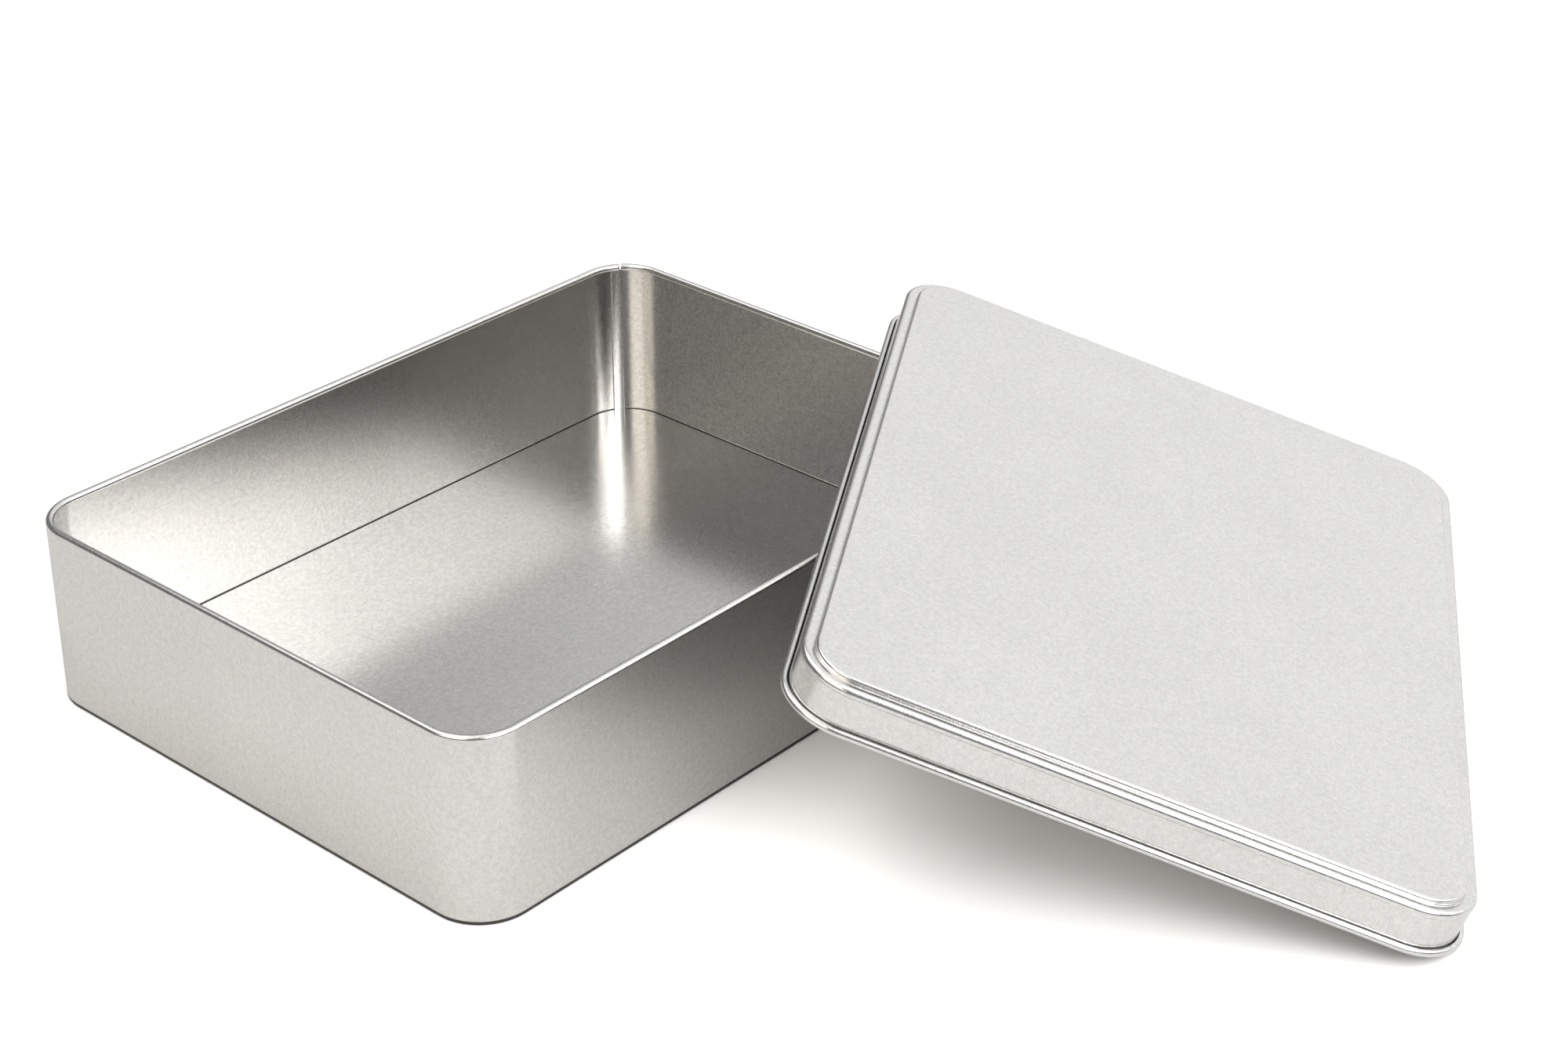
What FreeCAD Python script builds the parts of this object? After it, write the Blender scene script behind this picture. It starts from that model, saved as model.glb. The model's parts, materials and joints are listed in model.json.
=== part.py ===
import FreeCAD, Part
import math
import os
from FreeCAD import Vector

# A rectangular tinplate tin, open, with its lid leaning against it.
# The tin is a wall strip lock-seamed at one corner, with its top edge curled inward,
# and a recessed bottom that the wall's lower edge is folded round.
# The lid is drawn from one sheet: a raised panel, a shoulder bead, a skirt and a curled hem.
# Millimetres, Z up, the floor at Z = 0.

# Driving dimensions of the tin
SHEET = 0.25                # tinplate thickness
TIN_LENGTH = 200.0
TIN_WIDTH = 150.0
TIN_HEIGHT = 47.3
CORNER_RADIUS = 13.0        # outside, in plan
RIM_CURL = 1.9              # outside diameter of the inward curl along the top edge
RIM_TURN = 285.0            # degrees that the curl is rolled through
FOLD_GAP = 0.05             # play between the folded sheets
BOTTOM_RECESS = 2.5         # floor to the underside of the bottom panel
BOTTOM_BEND = 0.4           # centre-line radius round the bottom panel's edge
FOLD_RETURN = 1.5           # height of the wall's lower edge folded up inside

# Lock seam down the corner at +X, +Y
SEAM_WIDTH = 3.0            # along the inside of the corner
SEAM_RISE = 0.5             # the two folded layers stand this far off the wall
SEAM_LINE_WIDTH = 0.35      # hairline groove that the seam leaves outside
SEAM_LINE_DEPTH = 0.1
RIM_NOTCH_WIDTH = 0.6       # slit in the curl where the wall strip's two ends meet
RIM_NOTCH_DEPTH = 0.8

# Driving dimensions of the lid
LID_GAP = 0.3               # play between the tin's wall and the lid's skirt
LID_HEIGHT = 12.4
HEM_CURL = 1.8              # outside diameter of the outward curl round the skirt
HEM_TURN = 285.0
PANEL_EDGE = 0.6            # centre-line radii of the bends, from the panel outward
PANEL_STEP = 0.35           # straight part of the step down from the panel
STEP_ROOT = 0.35
SHOULDER_SLOPE = 10.0       # degrees that the shoulder rises towards its bead
SHOULDER_RUN = 1.2
BEAD_RADIUS = 1.1
BEAD_TUCK = 30.0            # degrees that the bead curls back in under itself
TUCK_RUN = 0.07
TUCK_RADIUS = 0.5

# How the lid leans: one long hem stands on the floor, the panel lies on the tin's +X -Y corner
LID_TURN = 31.9             # degrees from the tin's long side to the lid's, in plan
LID_END = 59.15             # from the corner's centre to the lid's far short side, along the lid
HEM_CLEARANCE = 1.44        # the raised long hem stands this far above the rims
REST_GAP = 0.05             # between the lid's panel and the rim it lies on

OVERSHOOT = 1.0             # cutting shapes pass this far beyond what they cut


def polar(length, degrees):
    return Vector(length * math.cos(math.radians(degrees)), 0, length * math.sin(math.radians(degrees)))


def walk(start, heading, moves):
    """Follow a sheet's centre line in the XZ plane.

    A move is ("run", length) or ("bend", radius, degrees), where a left turn is positive.
    Returns the stations (point, heading) and, for each bend, its centre."""
    stations = [(start, heading)]
    centres = []
    for move in moves:
        point, heading = stations[-1]
        if move[0] == "run":
            stations.append((point + polar(move[1], heading), heading))
            centres.append(None)
        else:
            radius, turn = move[1], move[2]
            side = math.copysign(90.0, turn)
            centre = point + polar(radius, heading + side)
            stations.append((centre + polar(radius, heading + turn - side), heading + turn))
            centres.append(centre)
    return stations, centres


def sheet_section(start, heading, moves):
    """Face of a bent sheet's cross-section, half a sheet to each side of the walked line."""
    stations, centres = walk(start, heading, moves)
    sides = []
    for side in (90.0, -90.0):
        edges = []
        for index, move in enumerate(moves):
            first, last = [p + polar(SHEET / 2, h + side) for p, h in stations[index:index + 2]]
            if move[0] == "run":
                edges.append(Part.LineSegment(first, last).toShape())
            else:
                middle_heading = stations[index][1] + move[2] / 2
                outward = -math.copysign(90.0, move[2])
                radius = (first - centres[index]).Length
                middle = centres[index] + polar(radius, middle_heading + outward)
                edges.append(Part.Arc(first, middle, last).toShape())
        sides.append(edges)
    caps = []
    for point, h in (stations[0], stations[-1]):
        ends = point + polar(SHEET / 2, h + 90.0), point + polar(SHEET / 2, h - 90.0)
        caps.append(Part.LineSegment(*ends).toShape())
    wire = Part.Wire(Part.__sortEdges__(sides[0] + sides[1] + caps))
    return Part.Face(wire)


def ring(section, length, width, radius):
    """Carry a section round a rounded rectangle. Its X = 0 lies on the rectangle's outline."""
    parts = []
    half_x, half_y = length / 2 - radius, width / 2 - radius
    for turn, across, along in ((0, half_x, half_y), (90, half_y, half_x),
                                (180, half_x, half_y), (270, half_y, half_x)):
        side = section.copy()
        side.translate(Vector(across + radius, -along, 0))
        side = side.extrude(Vector(0, 2 * along, 0))
        corner = section.copy()
        corner.translate(Vector(across + radius, along, 0))
        corner = corner.revolve(Vector(across, along, 0), Vector(0, 0, 1), 90)
        for piece in (side, corner):
            piece.rotate(Vector(0, 0, 0), Vector(0, 0, 1), turn)
            parts.append(piece)
    return parts


def rounded_plate(length, width, radius, bottom, thickness):
    half_x, half_y = length / 2 - radius, width / 2 - radius
    edges = []
    for turn in range(0, 360, 90):
        sign_x = 1 if turn in (0, 270) else -1
        sign_y = 1 if turn < 180 else -1
        centre = Vector(sign_x * half_x, sign_y * half_y, bottom)
        circle = Part.Circle(centre, Vector(0, 0, 1), radius)
        edges.append(Part.Arc(circle, math.radians(turn), math.radians(turn + 90)).toShape())
    for index in range(4):
        start = edges[index].Vertexes[-1].Point
        end = edges[(index + 1) % 4].Vertexes[0].Point
        edges.append(Part.LineSegment(start, end).toShape())
    face = Part.Face(Part.Wire(Part.__sortEdges__(edges)))
    return face.extrude(Vector(0, 0, thickness))


def joined(parts):
    return parts[0].multiFuse(parts[1:]).removeSplitter()


def corner_sector(inner, outer, bottom, top, middle_angle, width):
    """Block between two radii about the corner axis at +X, +Y; width is measured along its inside."""
    axis = Vector(TIN_LENGTH / 2 - CORNER_RADIUS, TIN_WIDTH / 2 - CORNER_RADIUS, 0)
    spread = math.degrees(width / inner)
    corners = [(inner, bottom), (outer, bottom), (outer, top), (inner, top), (inner, bottom)]
    face = Part.Face(Part.makePolygon([Vector(axis.x + r, axis.y, z) for r, z in corners]))
    face.rotate(axis, Vector(0, 0, 1), middle_angle - spread / 2)
    return face.revolve(axis, Vector(0, 0, 1), spread)


# The tin's wall

fold_radius = SHEET + FOLD_GAP
fold_base = fold_radius + SHEET / 2
rim_radius = (RIM_CURL - SHEET) / 2
rim_centre_height = TIN_HEIGHT - RIM_CURL / 2


def make_wall():
    start = Vector(-SHEET / 2 - 2 * fold_radius, 0, fold_base + FOLD_RETURN)
    section = sheet_section(start, -90.0, [
        ("run", FOLD_RETURN),
        ("bend", fold_radius, 180.0),
        ("run", rim_centre_height - fold_base),
        ("bend", rim_radius, RIM_TURN),
    ])
    wall = joined(ring(section, TIN_LENGTH, TIN_WIDTH, CORNER_RADIUS))
    inside = CORNER_RADIUS - SHEET
    seam_foot = BOTTOM_RECESS + SHEET + FOLD_GAP
    seam_top = TIN_HEIGHT - RIM_CURL - FOLD_GAP
    seam = corner_sector(inside - SEAM_RISE, inside + SHEET / 2, seam_foot, seam_top, 45.0, SEAM_WIDTH)
    seam_edge = 45.0 + math.degrees(SEAM_WIDTH / 2 / inside)
    line = corner_sector(CORNER_RADIUS - SEAM_LINE_DEPTH, CORNER_RADIUS + OVERSHOOT,
                         -OVERSHOOT, rim_centre_height, seam_edge, SEAM_LINE_WIDTH)
    notch = corner_sector(CORNER_RADIUS - RIM_CURL - OVERSHOOT, CORNER_RADIUS + OVERSHOOT,
                          TIN_HEIGHT - RIM_NOTCH_DEPTH, TIN_HEIGHT + OVERSHOOT, seam_edge, RIM_NOTCH_WIDTH)
    return wall.fuse(seam).cut(line).cut(notch).removeSplitter()


def drawn_sheet(length, width, radius, panel_line, shaped, tail):
    """Panel whose edge is shaped and then carries on as the tail, down the rounded rectangle.

    The panel's size is such that the tail's outer face lies on the rectangle's outline."""
    shaped_end = walk(Vector(0, 0, 0), 0.0, shaped)[0][-1][0]
    edge = -SHEET / 2 - shaped_end.x
    section = sheet_section(Vector(edge, 0, panel_line), 0.0, shaped + tail)
    panel = rounded_plate(length + 2 * edge, width + 2 * edge, radius + edge,
                          panel_line - SHEET / 2, SHEET)
    return joined([panel] + ring(section, length, width, radius))


# The tin's bottom panel, with its edge turned down into the wall's fold

def make_bottom():
    inset = SHEET + FOLD_GAP
    panel_line = BOTTOM_RECESS + SHEET / 2
    return drawn_sheet(TIN_LENGTH - 2 * inset, TIN_WIDTH - 2 * inset, CORNER_RADIUS - inset, panel_line,
                       [("bend", BOTTOM_BEND, -90.0)],
                       [("run", panel_line - BOTTOM_BEND - fold_base)])


# The lid, in its own frame: the hem's underside at Z = 0, the panel upward

lid_oversize = LID_GAP + SHEET
lid_length = TIN_LENGTH + 2 * lid_oversize
lid_width = TIN_WIDTH + 2 * lid_oversize
hem_radius = (HEM_CURL - SHEET) / 2


def make_lid():
    shaped = [
        ("bend", PANEL_EDGE, -90.0),
        ("run", PANEL_STEP),
        ("bend", STEP_ROOT, 90.0 + SHOULDER_SLOPE),
        ("run", SHOULDER_RUN),
        ("bend", BEAD_RADIUS, -(SHOULDER_SLOPE + 90.0 + BEAD_TUCK)),
        ("run", TUCK_RUN),
        ("bend", TUCK_RADIUS, BEAD_TUCK),
    ]
    panel_line = LID_HEIGHT - SHEET / 2
    skirt_top = panel_line + walk(Vector(0, 0, 0), 0.0, shaped)[0][-1][0].z
    tail = [("run", skirt_top - HEM_CURL / 2), ("bend", hem_radius, HEM_TURN)]
    return drawn_sheet(lid_length, lid_width, CORNER_RADIUS + lid_oversize, panel_line, shaped, tail)


# The leaning lid, seen along its long side: the low hem's centre stands at the origin of the slope

def lean_angle():
    """Lean at which the raised hem clears the rims while the low hem is on the floor."""
    between_hems = lid_width + HEM_CURL
    return math.degrees(math.asin((TIN_HEIGHT + HEM_CLEARANCE) / between_hems))


def foot_distance():
    """Plan distance from the tin's corner centre to the low hem, with the panel on the corner's rim."""
    angle = math.radians(lean_angle())
    rise = rim_centre_height - HEM_CURL / 2
    below_panel = LID_HEIGHT - SHEET - HEM_CURL / 2 - RIM_CURL / 2 - REST_GAP
    up_the_slope = (rise - below_panel * math.cos(angle)) / math.sin(angle)
    away = up_the_slope * math.cos(angle) - below_panel * math.sin(angle)
    return away + CORNER_RADIUS - RIM_CURL / 2


def lean(lid):
    low_hem = Vector(0, -(lid_width + HEM_CURL) / 2, HEM_CURL / 2)
    lid.rotate(low_hem, Vector(1, 0, 0), lean_angle())
    lid.translate(Vector(LID_END - lid_length / 2, -foot_distance() - low_hem.y, 0))
    lid.rotate(Vector(0, 0, 0), Vector(0, 0, 1), LID_TURN)
    lid.translate(Vector(TIN_LENGTH / 2 - CORNER_RADIUS, -TIN_WIDTH / 2 + CORNER_RADIUS, 0))
    return lid


def main():
    os.makedirs("parts", exist_ok=True)
    nodes = {"tin_wall": make_wall(), "tin_bottom": make_bottom(), "tin_lid": lean(make_lid())}
    # the origin is on the floor, below the middle of the whole
    whole = Part.makeCompound(list(nodes.values())).optimalBoundingBox(False, False)
    for name, shape in nodes.items():
        shape.translate(Vector(-whole.Center.x, -whole.Center.y, 0))
        shape.exportStep("parts/" + name + ".step")
        print(name, "valid", shape.isValid(), "solids", len(shape.Solids), "volume", round(shape.Volume, 1))
    print("lean", round(lean_angle(), 2), "foot", round(foot_distance(), 2))
    print("size", whole.XLength, whole.YLength, "from", whole.ZMin, "to", whole.ZMax)


main()
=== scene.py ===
import json
import math

import bpy
import numpy as np
from mathutils import Matrix, Vector


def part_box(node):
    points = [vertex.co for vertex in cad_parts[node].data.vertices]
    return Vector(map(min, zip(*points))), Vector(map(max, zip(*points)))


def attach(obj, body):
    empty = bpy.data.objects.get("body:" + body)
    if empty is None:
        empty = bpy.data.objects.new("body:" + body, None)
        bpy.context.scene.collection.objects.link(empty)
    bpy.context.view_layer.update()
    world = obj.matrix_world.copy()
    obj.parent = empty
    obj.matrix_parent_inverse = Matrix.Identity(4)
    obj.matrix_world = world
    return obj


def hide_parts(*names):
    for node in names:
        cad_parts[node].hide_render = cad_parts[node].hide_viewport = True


# An open tinplate tin and its lid, which leans on one corner of the tin. Metres.

MM = 0.001

# Sheet and curls
SHEET = 0.25 * MM           # tinplate thickness
CORNER_RADIUS = 13 * MM     # outside, in plan
RIM_CURL = 1.9 * MM         # outside diameter of the tin's inward curl
HEM_CURL = 1.8 * MM         # outside diameter of the lid's outward curl
CURL_TURN = 285             # degrees that both are rolled through
FOLD_GAP = 0.05 * MM
FOLD_RETURN = 1.5 * MM      # the wall's lower edge, folded up inside
BOTTOM_RECESS = 2.5 * MM    # floor to the underside of the bottom panel
BOTTOM_BEND = 0.4 * MM

# Lock seam in the tin's +X +Y corner
SEAM_WIDTH = 3 * MM
SEAM_ANGLE = 53.7           # direction of its middle from the corner's axis
SLIT_ANGLE = 48.6           # direction of the joint that it covers
SEAM_RISE = 0.5 * MM
SEAM_EDGE = 0.15 * MM       # rounding of the folded layers' edges
SEAM_EDGE_STEP = 15         # degrees from one point of that rounding to the next
SLIT_WIDTH = 0.12 * MM      # between the wall strip's two ends
RIM_SLIT_WIDTH = 0.6 * MM   # the same, in the curl

# Lid section, from the panel outward. Radii are the middle of the sheet's.
LID_HEIGHT = 12.4 * MM
PANEL_EDGE = 0.6 * MM       # radius at the panel's edge
PANEL_STEP = 0.35 * MM      # straight part of the step down from it
STEP_ROOT = 0.35 * MM       # radius at the step's foot
SHOULDER_SLOPE = 10         # degrees that the shoulder rises outward
SHOULDER_RUN = 1.2 * MM
BEAD_RADIUS = 1.1 * MM
BEAD_TUCK = 30              # degrees that the bead turns in past upright
TUCK_RUN = 0.07 * MM
TUCK_RADIUS = 0.5 * MM
LID_GAP = 0.3 * MM          # play between the tin's wall and the lid's skirt
LID_TURN = 31.9             # degrees from the tin's long side to the lid's, in plan
HEM_CLEARANCE = 1.44 * MM   # the lid's raised hem stands this far above the tin's rims

# How finely round shapes are divided
SHEET_EDGE = (60, 30, 0, -30, -60)          # directions round a sheet's rounded far edge
BEND_STEP = 9               # degrees in a section
CORNER_STEP = 3             # degrees in plan
PANEL_CELLS = 12            # faces from a panel's edge to its middle

# Camera
AZIMUTH = -49.056
ELEVATION = 28.881
ROLL = 0.386
DISTANCE = 782.476 * MM
AIM = Vector((79.418, -2.468, 0)) * MM      # from the middle of the tin's foot
LENS = 68.12
SENSOR_WIDTH = 36
NEAREST_SEEN = 0.01


# Sections of bent sheet: lists of (x, z, normal x, normal z) round the sheet

def heading_vector(degrees):
    return np.array([math.cos(math.radians(degrees)), math.sin(math.radians(degrees))])


def centre_line(start, heading, moves):
    """Points and headings along ("run", length) and ("bend", radius, degrees) moves."""
    point = np.array(start, float)
    line = [(point, heading)]
    for move in moves:
        if move[0] == "run":
            point = point + move[1] * heading_vector(heading)
            line.append((point, heading))
            continue
        radius, turn = move[1], move[2]
        side = math.copysign(90, turn)
        centre = point + radius * heading_vector(heading + side)
        count = max(2, math.ceil(abs(turn) / BEND_STEP))
        for i in range(1, count + 1):
            angle = heading + turn * i / count
            line.append((centre + radius * heading_vector(angle - side), angle))
        point, heading = line[-1]
    return line


def sheet_section(start, heading, moves, open_start=False):
    """Both faces of the sheet round its centre line, with rounded edges, or open at its start."""
    line = centre_line(start, heading, moves)
    loop = []
    for point, angle in line:
        normal = heading_vector(angle + 90)
        loop.append((point + normal * SHEET / 2, normal))
    end, angle = line[-1]
    for turn in SHEET_EDGE:
        normal = heading_vector(angle + turn)
        loop.append((end + normal * SHEET / 2, normal))
    for point, angle in reversed(line):
        normal = heading_vector(angle - 90)
        loop.append((point + normal * SHEET / 2, normal))
    if not open_start:
        begin, angle = line[0]
        for turn in SHEET_EDGE:
            normal = heading_vector(angle + 180 + turn)
            loop.append((begin + normal * SHEET / 2, normal))
    return [(p[0], p[1], n[0], n[1]) for p, n in loop]


# Paths round a rounded rectangle: lists of stations (corner centre x, y, direction in degrees)

def corner_stations(length, width, radius, quarter, start=0, stop=90):
    """Stations round one corner, between two angles from where it begins. Corner 0 is +X +Y."""
    sign_x = 1 if quarter in (0, 3) else -1
    sign_y = 1 if quarter in (0, 1) else -1
    x, y = sign_x * (length / 2 - radius), sign_y * (width / 2 - radius)
    count = math.ceil((stop - start) / CORNER_STEP)
    return [(x, y, 90 * quarter + start + (stop - start) * i / count) for i in range(count + 1)]


def outline_path(length, width, radius):
    """Stations all round, anticlockwise from +X."""
    return [station for quarter in range(4)
            for station in corner_stations(length, width, radius, quarter)]


def split_path(length, width, radius, angle, slit):
    """The same, from one side of a slit in the first corner round to its other side."""
    stations = corner_stations(length, width, radius, 0, start=angle + slit / 2)
    for quarter in (1, 2, 3):
        stations += corner_stations(length, width, radius, quarter)
    return stations + corner_stations(length, width, radius, 0, stop=angle - slit / 2)


# Meshes

def set_normals(mesh, normals):
    mesh.shade_smooth()
    mesh.normals_split_custom_set_from_vertices([tuple(n) for n in normals])


def add_mesh(name, verts, faces, normals, matrix=None):
    mesh = bpy.data.meshes.new(name)
    mesh.from_pydata([tuple(v) for v in verts], [], faces)
    mesh.validate()
    set_normals(mesh, normals)
    if matrix is not None:
        mesh.transform(matrix)
        turn = matrix.to_3x3()
        set_normals(mesh, [turn @ Vector(n) for n in normals])
    piece = bpy.data.objects.new(name, mesh)
    bpy.context.scene.collection.objects.link(piece)
    return piece


def carried(section, radius, stations):
    """The section's points and normals at each station."""
    verts, normals = [], []
    for x, y, angle in stations:
        c, s = math.cos(math.radians(angle)), math.sin(math.radians(angle))
        for px, pz, nx, nz in section:
            verts.append((x + c * (radius + px), y + s * (radius + px), pz))
            normals.append((c * nx, s * nx, nz))
    return verts, normals


def skin(count_u, count_v, closed_u, closed_v):
    """Quads between count_u rows of count_v vertices."""
    faces = []
    for u in range(count_u if closed_u else count_u - 1):
        row, next_row = u * count_v, (u + 1) % count_u * count_v
        for v in range(count_v if closed_v else count_v - 1):
            next_v = (v + 1) % count_v
            faces.append((row + v, row + next_v, next_row + next_v, next_row + v))
    return faces


# The tin

def make_wall(place, length, width, height):
    fold_radius = SHEET + FOLD_GAP
    fold_base = fold_radius + SHEET / 2
    rim_height = height - RIM_CURL / 2
    section = sheet_section((-SHEET / 2 - 2 * fold_radius, fold_base + FOLD_RETURN), -90, [
        ("run", FOLD_RETURN),
        ("bend", fold_radius, 180),
        ("run", rim_height - fold_base),
        ("bend", (RIM_CURL - SHEET) / 2, CURL_TURN),
    ])
    slit = math.degrees(SLIT_WIDTH / CORNER_RADIUS)
    stations = split_path(length, width, CORNER_RADIUS, SLIT_ANGLE, slit)
    verts, normals = carried(section, CORNER_RADIUS, stations)
    # the slit between the strip's two ends is wider in the curl
    corner = Vector((length / 2 - CORNER_RADIUS, width / 2 - CORNER_RADIUS, 0))
    extra = (RIM_SLIT_WIDTH - SLIT_WIDTH) / 2 / CORNER_RADIUS
    count = len(section)
    last_row = (len(stations) - 1) * count
    for index, (_, z, _, _) in enumerate(section):
        if z > height - RIM_CURL:
            for row, sign in ((0, 1), (last_row, -1)):
                turn = Matrix.Rotation(sign * extra, 3, "Z")
                verts[row + index] = tuple(turn @ (Vector(verts[row + index]) - corner) + corner)
    faces = skin(len(stations), count, False, True)
    faces.append(tuple(reversed(range(count))))
    faces.append(tuple(range(last_row, last_row + count)))
    wall = add_mesh("wall_strip", verts, faces, normals, place)
    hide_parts("tin_wall")
    return wall


def make_seam(place, length, width, height):
    """The folded layers of the lock seam, up the inside of the corner."""
    inner = CORNER_RADIUS - SHEET
    face = inner - SEAM_RISE
    foot = BOTTOM_RECESS + SHEET + FOLD_GAP
    top = height - RIM_CURL - FOLD_GAP
    half = SEAM_WIDTH / 2
    # (distance along the wall, radius, normal along the wall, normal towards the corner's axis)
    side = [(-half, inner + SHEET / 2, -1, 0)]
    for turn in range(0, 91, SEAM_EDGE_STEP):
        c, s = math.cos(math.radians(turn)), math.sin(math.radians(turn))
        side.append((-half + SEAM_EDGE * (1 - c), face + SEAM_EDGE * (1 - s), -c, s))
    other_side = [(-along, r, -out, inward) for along, r, out, inward in reversed(side)]
    rows = side + [(0, face, 0, 1)] + other_side
    centre = (length / 2 - CORNER_RADIUS, width / 2 - CORNER_RADIUS)
    verts, normals = [], []
    for z in (foot, top):
        for along, r, out, inward in rows:
            angle = math.radians(SEAM_ANGLE) + along / inner
            c, s = math.cos(angle), math.sin(angle)
            verts.append((centre[0] + r * c, centre[1] + r * s, z))
            normals.append((-c * inward - s * out, -s * inward + c * out, 0))
    count = len(rows)
    faces = [tuple(reversed(f)) for f in skin(2, count, False, False)]
    faces.append(tuple(reversed(range(count))))
    faces.append(tuple(range(count, 2 * count)))
    return add_mesh("lock_seam", verts, faces, normals, place)


def panel_rings(stations, radius, height):
    """Rings of vertices inside a panel's edge, and one at its middle, all at one height."""
    verts = []
    for k in range(1, PANEL_CELLS):
        t = k / PANEL_CELLS
        for x, y, angle in stations:
            c, s = math.cos(math.radians(angle)), math.sin(math.radians(angle))
            verts.append(((x + c * radius) * (1 - t), (y + s * radius) * (1 - t), height))
    return verts + [(0, 0, height)]


def make_drawn(name, place, section, length, width, radius):
    """A part drawn from one sheet: the section's two faces run on into a flat panel."""
    stations = outline_path(length, width, radius)
    verts, normals = carried(section, radius, stations)
    count = len(section)
    rows = len(stations)
    faces = skin(rows, count, True, False)
    top, under = 0, count - 1
    for start, sign in ((top, 1), (under, -1)):
        edge, height = section[start][:2]
        rings = panel_rings(stations, radius + edge, height)
        first = len(verts)
        verts += rings
        normals += [(0, 0, sign)] * len(rings)
        for k in range(PANEL_CELLS):
            ring, next_ring = first + (k - 1) * rows, first + k * rows
            for i in range(rows):
                j = (i + 1) % rows
                # the outermost faces join on to the section, the innermost close at the middle
                outer = (ring + i, ring + j) if k else (i * count + start, j * count + start)
                inner = (next_ring + j, next_ring + i) if k < PANEL_CELLS - 1 else (next_ring,)
                face = outer + inner
                faces.append(face if sign > 0 else tuple(reversed(face)))
    return add_mesh(name, verts, faces, normals, place)


def make_bottom(place, length, width):
    fold_radius = SHEET + FOLD_GAP
    fold_base = fold_radius + SHEET / 2
    panel_height = BOTTOM_RECESS + SHEET / 2
    start = (-SHEET / 2 - fold_radius - BOTTOM_BEND, panel_height)
    section = sheet_section(start, 0, [
        ("bend", BOTTOM_BEND, -90),
        ("run", panel_height - BOTTOM_BEND - fold_base),
    ], open_start=True)
    bottom = make_drawn("bottom_panel", place, section, length, width, CORNER_RADIUS)
    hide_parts("tin_bottom")
    return bottom


# The lid, modelled level and then leaned

def make_lid(length, width, height, centre):
    oversize = LID_GAP + SHEET
    lean = math.asin((height + HEM_CLEARANCE) / (width + 2 * oversize + HEM_CURL))
    shaped = [
        ("bend", PANEL_EDGE, -90),
        ("run", PANEL_STEP),
        ("bend", STEP_ROOT, 90 + SHOULDER_SLOPE),
        ("run", SHOULDER_RUN),
        ("bend", BEAD_RADIUS, -(SHOULDER_SLOPE + 90 + BEAD_TUCK)),
        ("run", TUCK_RUN),
        ("bend", TUCK_RADIUS, BEAD_TUCK),
    ]
    shaped_end = centre_line((0, 0), 0, shaped)[-1][0]
    panel_line = LID_HEIGHT - SHEET / 2
    skirt = panel_line + shaped_end[1] - HEM_CURL / 2
    section = sheet_section((-SHEET / 2 - shaped_end[0], panel_line), 0,
                            shaped + [("run", skirt), ("bend", (HEM_CURL - SHEET) / 2, CURL_TURN)],
                            open_start=True)
    turn = Matrix.Rotation(math.radians(LID_TURN), 4, "Z") @ Matrix.Rotation(lean, 4, "X")
    lid = make_drawn("lid_shell", turn, section, length + 2 * oversize, width + 2 * oversize,
                     CORNER_RADIUS + oversize)
    # it stands where the frame's lid stands
    corners = np.array([v.co for v in lid.data.vertices])
    shift = centre - Vector((corners.min(0) + corners.max(0)) / 2)
    lid.data.transform(Matrix.Translation(shift))
    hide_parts("tin_lid")
    return lid


# Materials

ROUGHNESS = 0.21
ROUGHNESS_SPREAD = 0.04
GRAIN_BUMP = 0.25
GRAIN_DEPTH = 0.01 * MM
FOOT_PAINTED_SHADE = 1.1 * MM       # height that the painted shade along the tin's foot reaches: a dark line standing in for contact shade
CREVICE_PAINTED_SHADE = BOTTOM_RECESS + SHEET       # and that of the painted crevice shade where the bottom panel turns down
# soft edge and darkness of that painted shade
PAINTED_SHADE_FADE = 0.1 * MM
PAINTED_SHADE_TONE = 0.12
UNDERSIDE = (-0.9, -0.6)    # a normal's z: below the first there is no painted shade, above the second all
NOISE_CORE = (0.3, 0.7)     # nearly all of a noise lies between these

# Noise over the metal: cells per metre, detail, roughness, darkest and lightest tone
GRAIN = (2600, 2, 0.6, 0.90, 1.08)
MOTTLE = (850, 2, 0.7, 0.92, 1.06)
CLOUD = (28, 3, 0.55, 0.98, 1.02)


class Nodes:
    """Short hand for building a node tree. A value named i0, i1 and so on goes to that input."""

    def __init__(self, tree):
        self.tree = tree
        tree.nodes.clear()

    def add(self, kind, **values):
        node = self.tree.nodes.new(kind)
        for key, value in values.items():
            if key in node.bl_rna.properties.keys():
                setattr(node, key, value)
            else:
                self.put(node, key, value)
        return node

    def put(self, node, key, value):
        numbered = key[:1] == "i" and key[1:].isdigit()
        socket = node.inputs[int(key[1:]) if numbered else key.replace("_", " ")]
        if isinstance(value, bpy.types.NodeSocket):
            self.tree.links.new(value, socket)
        else:
            socket.default_value = value

    def combined(self, operation, first, second):
        """A Math node's result."""
        return self.add("ShaderNodeMath", operation=operation, i0=first, i1=second).outputs[0]

    def mapped(self, value, source, target, **options):
        """The value, taken from one range (from, to) to another."""
        return self.add("ShaderNodeMapRange", Value=value, From_Min=source[0], From_Max=source[1],
                        To_Min=target[0], To_Max=target[1], **options).outputs[0]

    def choose(self, condition, otherwise, then):
        """One of two values, by a condition of 0 or 1."""
        return self.add("ShaderNodeMix", data_type="FLOAT", i0=condition, i2=otherwise,
                        i3=then).outputs[0]


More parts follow.
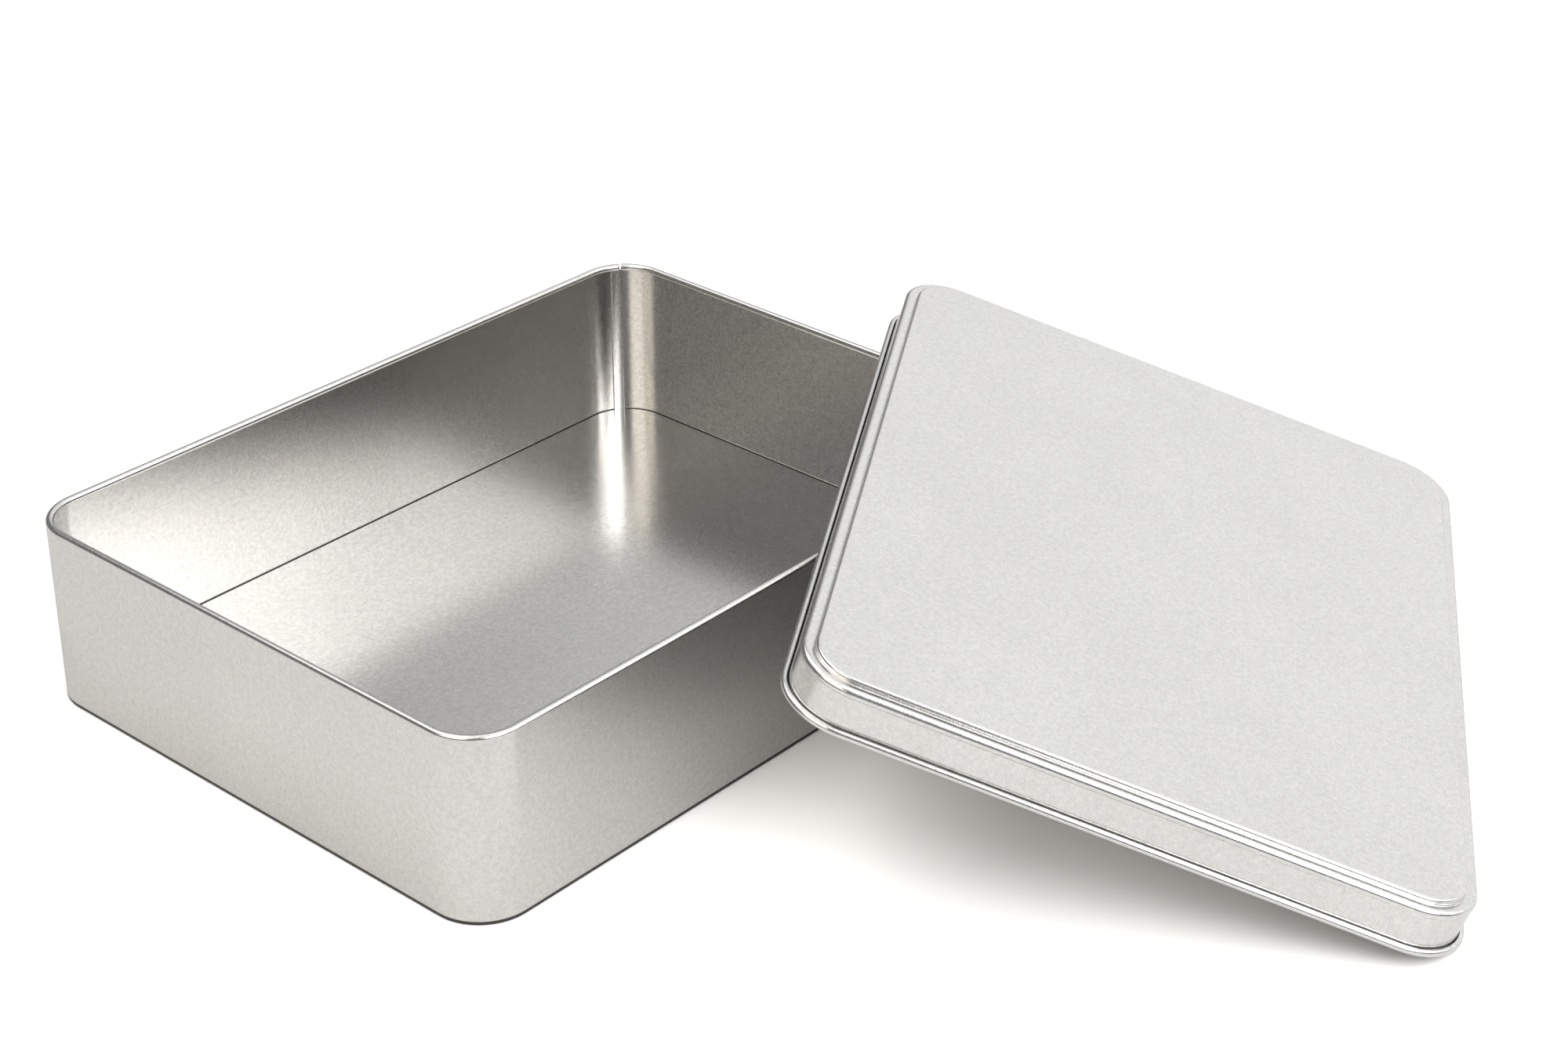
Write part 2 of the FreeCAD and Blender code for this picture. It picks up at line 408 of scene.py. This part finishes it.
def tinplate(name, colour, painted_shade_top):
    """Satin tinplate: a fine matt grain, a mottle and faint clouds. Faces below the given
    height get painted shade, a dark band standing in for contact and crevice shade, apart from
    those that look down."""
    material = bpy.data.materials.new(name)
    material.use_nodes = True
    n = Nodes(material.node_tree)
    coordinates = n.add("ShaderNodeTexCoord")
    where = coordinates.outputs["Object"]
    noises, tones = [], []
    for scale, detail, roughness, dark, light in (GRAIN, MOTTLE, CLOUD):
        noise = n.add("ShaderNodeTexNoise", Vector=where, Scale=scale, Detail=detail,
                      Roughness=roughness).outputs[0]
        noises.append(noise)
        tones.append(n.mapped(noise, NOISE_CORE, (dark, light)))
    grain = noises[0]
    shade = n.combined("MULTIPLY", n.combined("MULTIPLY", tones[0], tones[1]), tones[2])
    # painted shade: darker below the given height, standing in for contact shade at the foot and
    # in the crevice
    if painted_shade_top:
        height = n.add("ShaderNodeSeparateXYZ", Vector=where).outputs["Z"]
        facing = n.add("ShaderNodeSeparateXYZ", Vector=coordinates.outputs["Normal"]).outputs["Z"]
        above = n.mapped(height, (painted_shade_top - PAINTED_SHADE_FADE, painted_shade_top), (PAINTED_SHADE_TONE, 1))
        under = n.mapped(facing, UNDERSIDE, (1, 0))
        shade = n.combined("MULTIPLY", shade, n.combined("MAXIMUM", above, under))
    tone = n.add("ShaderNodeVectorMath", operation="SCALE", i0=colour, Scale=shade)
    rough = n.mapped(grain, NOISE_CORE, (ROUGHNESS - ROUGHNESS_SPREAD,
                                         ROUGHNESS + ROUGHNESS_SPREAD))
    bump = n.add("ShaderNodeBump", Height=grain, Strength=GRAIN_BUMP, Distance=GRAIN_DEPTH)
    shader = n.add("ShaderNodeBsdfPrincipled", Base_Color=tone.outputs[0], Metallic=1,
                   Roughness=rough, Normal=bump.outputs[0])
    n.add("ShaderNodeOutputMaterial", Surface=shader.outputs[0])
    return material


# Studio. A direction is (azimuth, elevation) in degrees, from azimuth 0 at -Y, anticlockwise.

FLOOR_SIZE = 6.0
FLOOR_PAINT = 0.8           # what the floor gives back as light
FLOOR_MIRRORED = 0.88       # what metal shows of it
FLOOR_SHOWN = 1.5           # what the camera sees of it
SWEEP = (85, 25)            # middle of the bright side of the room
SWEEP_SPREAD = (0.45, 0.95)                 # cosines from it where its glow starts and is full
SWEEP_LEVEL = 1.0
ROOM_LEVEL = 0.2
AMBIENT = 0.15
LAMP_DISTANCE = 1.3
LAMPS = {                   # direction, width, height, radiance, colour
    "top": ((0, 88), 1.0, 1.0, 0.9, (1.0, 0.98, 0.96)),
    "high_front": ((0, 56), 0.85, 0.65, 1.3, (1.0, 0.99, 0.97)),
    "high_right": ((50, 56), 0.75, 0.65, 0.9, (1.0, 0.99, 0.97)),
    "high_behind": ((180, 58), 0.8, 0.65, 1.3, (1.0, 0.98, 0.96)),
    "high_left": ((-135, 58), 0.8, 0.65, 1.3, (1.0, 0.98, 0.96)),
    "high_near": ((-85, 58), 0.8, 0.6, 1.4, (1.0, 0.94, 0.88)),
    "left": ((-86, 32), 0.9, 0.5, 1.6, (1.0, 0.95, 0.85)),
    "front": ((-11, 32), 0.75, 0.5, 4.9, (1.0, 1.0, 1.0)),
    "front_right": ((27, 32), 0.45, 0.5, 2.4, (1.0, 1.0, 1.0)),
    "right": ((50, 32), 0.5, 0.5, 0.45, (1.0, 1.0, 1.0)),
}


def direction(azimuth, elevation):
    az, el = math.radians(azimuth), math.radians(elevation)
    return Vector((math.sin(az) * math.cos(el), -math.cos(az) * math.cos(el), math.sin(el)))


def make_floor():
    mesh = bpy.data.meshes.new("floor")
    half = FLOOR_SIZE / 2
    corners = [(-half, -half, 0), (half, -half, 0), (half, half, 0), (-half, half, 0)]
    mesh.from_pydata(corners, [], [(0, 1, 2, 3)])
    floor = bpy.data.objects.new("floor", mesh)
    bpy.context.scene.collection.objects.link(floor)
    material = bpy.data.materials.new("floor_white")
    material.use_nodes = True
    n = Nodes(material.node_tree)
    path = n.add("ShaderNodeLightPath")
    unseen = n.choose(path.outputs["Is Glossy Ray"], FLOOR_PAINT, FLOOR_MIRRORED)
    paint = n.add("ShaderNodeBsdfDiffuse",
                  Color=n.choose(path.outputs["Is Camera Ray"], unseen, FLOOR_SHOWN))
    n.add("ShaderNodeOutputMaterial", Surface=paint.outputs[0])
    mesh.materials.append(material)


def make_world():
    """A dim room with one bright side for the metal to mirror, white to the camera."""
    world = bpy.data.worlds.new("studio")
    bpy.context.scene.world = world
    world.use_nodes = True
    n = Nodes(world.node_tree)
    looking = n.add("ShaderNodeTexCoord").outputs["Generated"]
    towards = n.add("ShaderNodeVectorMath", operation="DOT_PRODUCT", i0=looking,
                    i1=direction(*SWEEP)).outputs["Value"]
    glow = n.mapped(towards, SWEEP_SPREAD, (ROOM_LEVEL, SWEEP_LEVEL),
                    interpolation_type="SMOOTHSTEP")
    path = n.add("ShaderNodeLightPath")
    unseen = n.choose(path.outputs["Is Glossy Ray"], AMBIENT, glow)
    light = n.add("ShaderNodeBackground", Color=(1, 1, 1, 1),
                  Strength=n.choose(path.outputs["Is Camera Ray"], unseen, 1))
    n.add("ShaderNodeOutputWorld", Surface=light.outputs[0])


def add_lamp(name, towards, width, height, radiance, colour):
    """A rectangular lamp that faces the origin."""
    lamp = bpy.data.lights.new(name, "AREA")
    lamp.shape = "RECTANGLE"
    lamp.size, lamp.size_y = width, height
    lamp.energy = radiance * math.pi * width * height
    lamp.color = colour
    holder = bpy.data.objects.new(name, lamp)
    back = direction(*towards)
    facing = (-back).to_track_quat("-Z", "Y").to_matrix().to_4x4()
    holder.matrix_world = Matrix.Translation(back * LAMP_DISTANCE) @ facing
    bpy.context.scene.collection.objects.link(holder)


def make_camera(target):
    back = direction(AZIMUTH, ELEVATION)
    right = direction(AZIMUTH + 90, 0)
    up = back.cross(right)
    c, s = math.cos(math.radians(ROLL)), math.sin(math.radians(ROLL))
    right, up = c * right + s * up, c * up - s * right
    data = bpy.data.cameras.new("camera")
    data.lens = LENS
    data.sensor_width = SENSOR_WIDTH
    data.clip_start = NEAREST_SEEN
    camera = bpy.data.objects.new("camera", data)
    facing = Matrix((right, up, back)).transposed().to_4x4()
    camera.matrix_world = Matrix.Translation(target + back * DISTANCE) @ facing
    bpy.context.scene.collection.objects.link(camera)
    bpy.context.scene.camera = camera


# Scene

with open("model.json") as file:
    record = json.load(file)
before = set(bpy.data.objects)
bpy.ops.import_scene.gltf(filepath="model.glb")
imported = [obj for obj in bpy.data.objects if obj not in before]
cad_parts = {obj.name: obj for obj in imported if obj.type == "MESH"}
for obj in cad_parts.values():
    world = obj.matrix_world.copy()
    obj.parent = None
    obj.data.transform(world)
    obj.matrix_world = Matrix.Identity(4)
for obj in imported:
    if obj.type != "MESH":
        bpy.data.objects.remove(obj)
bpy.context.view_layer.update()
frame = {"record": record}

low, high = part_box("tin_wall")
tin_length, tin_width, tin_height = high - low
foot = Vector(((low.x + high.x) / 2, (low.y + high.y) / 2, 0))
tin_place = Matrix.Translation(foot)

wall = make_wall(tin_place, tin_length, tin_width, tin_height)
seam = make_seam(tin_place, tin_length, tin_width, tin_height)
bottom = make_bottom(tin_place, tin_length, tin_width)
lid_low, lid_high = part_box("tin_lid")
lid = make_lid(tin_length, tin_width, tin_height, (lid_low + lid_high) / 2)

looks = {m["slot"]: m["base_color"] for m in frame["record"]["materials"]}
# the wall and the bottom get painted contact and crevice shade below these heights; the seam and
# the lid get none
for piece, slot, painted_shade_top in ((wall, "tinplate", FOOT_PAINTED_SHADE), (seam, "tinplate", 0),
                             (bottom, "tinplate_bottom", CREVICE_PAINTED_SHADE), (lid, "tinplate_lid", 0)):
    piece.data.materials.append(tinplate(piece.name + "_finish", looks[slot], painted_shade_top))
    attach(piece, "root")

make_floor()
make_world()
for name, values in LAMPS.items():
    add_lamp(name, *values)
make_camera(foot + AIM)

bpy.context.scene.view_settings.view_transform = "Standard"
